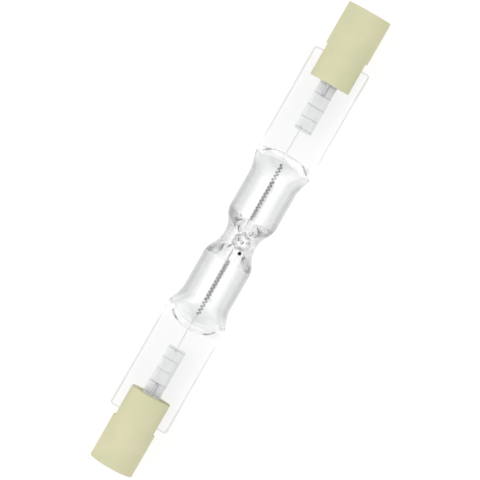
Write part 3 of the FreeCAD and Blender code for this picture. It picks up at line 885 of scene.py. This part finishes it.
def make_metal(name, dark, light, roughness, grain_mm, bump_mm=0.004, stretch=(1, 1, 1)):
    """Metal whose grain runs between two colours and two roughnesses, drawn out by stretch."""
    material, tree, shader = new_material(name)
    set_sockets(shader, Metallic=1.0)
    vector = object_coordinates(tree, stretch)
    grain = add_noise(tree, vector, grain_mm)
    tree.links.new(add_ramp(tree, grain, [(0.3, dark), (0.7, light)]), shader.inputs["Base Color"])
    tree.links.new(add_range(tree, grain, *roughness), shader.inputs["Roughness"])
    add_bump(tree, shader, grain, bump_mm)
    return material


def make_ceramic():
    """Unglazed pale yellow ceramic: mottled, finely grained and matte."""
    material, tree, shader = new_material("yellow_ceramic")
    set_sockets(shader, Roughness=0.85, Specular_IOR_Level=0.3)
    vector = object_coordinates(tree)
    patches = add_noise(tree, vector, 6.0, detail=1.5)
    grain = add_noise(tree, vector, 0.12, detail=5.0, roughness=0.65)
    mottled = add_ramp(tree, patches, [
        (0.35, (0.70, 0.705, 0.455)), (0.5, (0.745, 0.72, 0.475)), (0.65, (0.79, 0.735, 0.505)),
    ])
    speckled = add_ramp(tree, grain, [(0.25, (0.9, 0.89, 0.86)), (0.5, (1, 1, 1)), (0.8, (1.0, 1.0, 0.98))])
    tree.links.new(multiply_colours(tree, mottled, speckled), shader.inputs["Base Color"])
    add_bump(tree, shader, grain, 0.03, strength=0.6)
    return material


def make_cement():
    """Fine sandy cement."""
    material, tree, shader = new_material("pale_cement")
    set_sockets(shader, Roughness=0.95, Specular_IOR_Level=0.2)
    grain = add_noise(tree, object_coordinates(tree), 0.2, detail=6.0, roughness=0.7)
    sandy = add_ramp(tree, grain, [(0.3, (0.66, 0.63, 0.52)), (0.7, (0.83, 0.81, 0.71))])
    tree.links.new(sandy, shader.inputs["Base Color"])
    add_bump(tree, shader, grain, 0.05)
    return material


def make_floor():
    """A pale floor that stays white and takes a faint soft shadow."""
    mesh = bpy.data.meshes.new("floor")
    half = FLOOR_SIZE / 2
    corners = [(-half, -half), (half, -half), (half, half), (-half, half)]
    mesh.from_pydata([(x * MM, y * MM, FLOOR_HEIGHT * MM) for x, y in corners], [], [(0, 1, 2, 3)])
    material, _, shader = new_material("pale_floor")
    set_sockets(shader, Roughness=1.0, Specular_IOR_Level=0.0, Emission_Strength=0.8)
    shader.inputs["Base Color"].default_value = (0.26, 0.26, 0.26, 1)
    shader.inputs["Emission Color"].default_value = (1, 1, 1, 1)
    mesh.materials.append(material)
    floor = bpy.data.objects.new("floor", mesh)
    bpy.context.scene.collection.objects.link(floor)


def make_lamp(name, place, size, power):
    """A soft square lamp at a place in metres, turned to the middle of the object."""
    data = bpy.data.lights.new(name, "AREA")
    data.size = size
    data.energy = power
    lamp = bpy.data.objects.new(name, data)
    lamp.location = place
    lamp.rotation_euler = (-Vector(place)).to_track_quat("-Z", "Y").to_euler()
    bpy.context.scene.collection.objects.link(lamp)


def make_world():
    """Soft light from all round, and plain white where the camera sees past the floor."""
    world = bpy.data.worlds.new("studio")
    bpy.context.scene.world = world
    world.use_nodes = True
    tree = world.node_tree
    surround = tree.nodes["Background"]
    coordinates = tree.nodes.new("ShaderNodeTexCoord")
    parts = tree.nodes.new("ShaderNodeSeparateXYZ")
    tree.links.new(coordinates.outputs["Generated"], parts.inputs["Vector"])
    sky = add_ramp(tree, parts.outputs["Z"], [(height, (level,) * 3) for height, level in SURROUND])
    tree.links.new(sky, surround.inputs["Color"])
    white = tree.nodes.new("ShaderNodeBackground")
    white.inputs["Color"].default_value = (1, 1, 1, 1)
    rays = tree.nodes.new("ShaderNodeLightPath")
    mix = tree.nodes.new("ShaderNodeMixShader")
    tree.links.new(rays.outputs["Is Camera Ray"], mix.inputs["Fac"])
    tree.links.new(surround.outputs["Background"], mix.inputs[1])
    tree.links.new(white.outputs["Background"], mix.inputs[2])
    tree.links.new(mix.outputs["Shader"], tree.nodes["World Output"].inputs["Surface"])


def make_camera():
    """A long lens straight above the lamp, which runs up to the right with that end slightly nearer."""
    data = bpy.data.cameras.new("camera")
    data.sensor_width = SENSOR_WIDTH
    data.lens = FOCAL_PIXELS / PICTURE_SIZE * SENSOR_WIDTH
    data.clip_start = 0.01
    data.clip_end = 100
    camera = bpy.data.objects.new("camera", data)
    bpy.context.scene.collection.objects.link(camera)
    back = Vector((math.sin(CAMERA_TILT), 0, math.cos(CAMERA_TILT)))
    along = Vector((math.cos(CAMERA_TILT), 0, -math.sin(CAMERA_TILT)))
    across = back.cross(along)
    right = along * math.cos(LAMP_SLANT) - across * math.sin(LAMP_SLANT)
    up = along * math.sin(LAMP_SLANT) + across * math.cos(LAMP_SLANT)
    turned = Matrix((right, up, back)).transposed().to_4x4()
    camera.matrix_world = Matrix.Translation(back * CAMERA_DISTANCE * MM) @ turned
    bpy.context.scene.camera = camera


# Each quartz material paints shade into its colour where the glass is seen aslant
clear_quartz = make_quartz("clear_quartz", CLEAR_EDGE_PAINTED_SHADE, EVEN_ALONG)
pinched_quartz = make_quartz("pinched_quartz", PINCH_EDGE_PAINTED_SHADE, PINCH_PAINTED_SHADE_ALONG)
pressed_quartz = make_quartz("pressed_quartz", CLEAR_EDGE_PAINTED_SHADE, EVEN_ALONG, roughness=0.9)
coated_quartz = make_quartz("coated_quartz", COATED_EDGE_PAINTED_SHADE, COATED_PAINTED_SHADE_ALONG, film=1.0)
tungsten = make_metal("dark_tungsten", (0.36, 0.36, 0.365), (0.54, 0.54, 0.55), (0.4, 0.6), grain_mm=0.05)
drawn_wire = make_metal(
    "drawn_wire", (0.62, 0.62, 0.64), (0.82, 0.82, 0.84), (0.35, 0.5), grain_mm=0.06, stretch=(0.1, 1, 1)
)
molybdenum = make_metal(
    "molybdenum", (0.88, 0.89, 0.89), (0.97, 0.98, 0.98), (0.45, 0.6),
    grain_mm=0.3, bump_mm=0.003, stretch=(0.12, 1, 1),
)
# Near-black, rough metal for the small dark ball on the neck
near_black_metal = make_metal("black_bead", (0.01, 0.01, 0.01), (0.03, 0.03, 0.03), (0.7, 0.9), grain_mm=0.1)
nickel = make_metal(
    "turned_nickel", (0.55, 0.54, 0.51), (0.72, 0.7, 0.67), (0.25, 0.4), grain_mm=0.12, bump_mm=0.006
)
ceramic = make_ceramic()
cement = make_cement()

glass = make_piece("quartz_glass", *build_glass(), clear_quartz)
dress_glass(glass, coated_quartz, pinched_quartz, pressed_quartz)
hand_over(glass, "quartz_envelope")
bead = make_piece("neck_bead", *build_bead(), near_black_metal)
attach(bead, "root")
coils = make_piece("filament_coils", *build_filament(), tungsten)
hand_over(coils, "filament")
for side in SIDES:
    for name, shape, node, material, slot in (
        ("inner_wire", build_inner_lead(side), "inner_lead", drawn_wire, "lead_wire"),
        ("foil_ribbon", build_foil(), "foil", molybdenum, "molybdenum_foil"),
        ("outer_wire", build_outer_lead(), "outer_lead", drawn_wire, "lead_wire"),
    ):
        vertices, faces = shape
        smooth = name != "foil_ribbon"
        piece = make_piece(f"{name}_{side}", turn_to_side(vertices, side), faces, material, smooth)
        hand_over(piece, f"{node}_{side}")
    make_cap(side, ceramic)
    make_contact(side, nickel)
    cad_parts[f"cement_{side}"].data.materials[0] = cement

bpy.context.scene.view_settings.view_transform = "Standard"
bpy.context.scene.cycles.max_bounces = BOUNCES
bpy.context.scene.cycles.glossy_bounces = BOUNCES
bpy.context.scene.cycles.transmission_bounces = BOUNCES
make_floor()
make_world()
make_lamp("key_lamp", (-0.1, 0.5, 0.85), size=0.7, power=2.2)
make_lamp("fill_lamp", (0.62, -0.35, 0.55), size=0.8, power=0.95)
make_camera()
